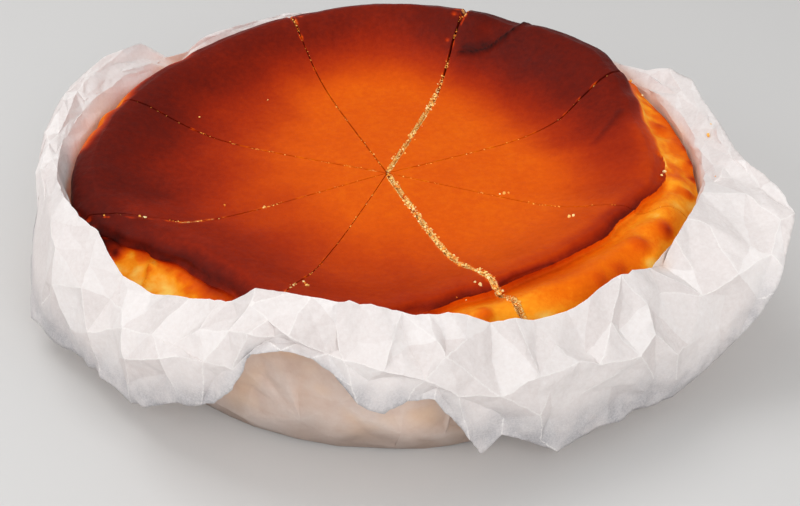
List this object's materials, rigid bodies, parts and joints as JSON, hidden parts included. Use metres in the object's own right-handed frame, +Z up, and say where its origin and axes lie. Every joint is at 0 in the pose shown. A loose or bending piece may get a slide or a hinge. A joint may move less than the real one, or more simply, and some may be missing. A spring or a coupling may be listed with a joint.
{
  "type": "basque burnt cheesecake",
  "caption": "Round burnt-top cheesecake with a sunken middle and a creased rim, cut into wedges that stand together in crumpled white baking parchment.",
  "frame": {"origin": "centre of the cake's base, on the underside of the parchment", "axes": "+Z up out of the cake's top, -Y towards the front, where the parchment is folded down"},
  "size_m": [0.2781, 0.2606, 0.0714],
  "materials": {
    "cheesecake": "satin burnt caramel crust over soft yellow cheesecake",
    "parchment": "matt, crumpled and slightly translucent"
  },
  "bodies": {
    "root": {"slice_1": "cheesecake", "slice_2": "cheesecake", "slice_3": "cheesecake", "slice_4": "cheesecake", "slice_5": "cheesecake", "slice_6": "cheesecake", "slice_7": "cheesecake", "slice_8": "cheesecake", "parchment_paper": "parchment"}
  },
  "joints": []
}
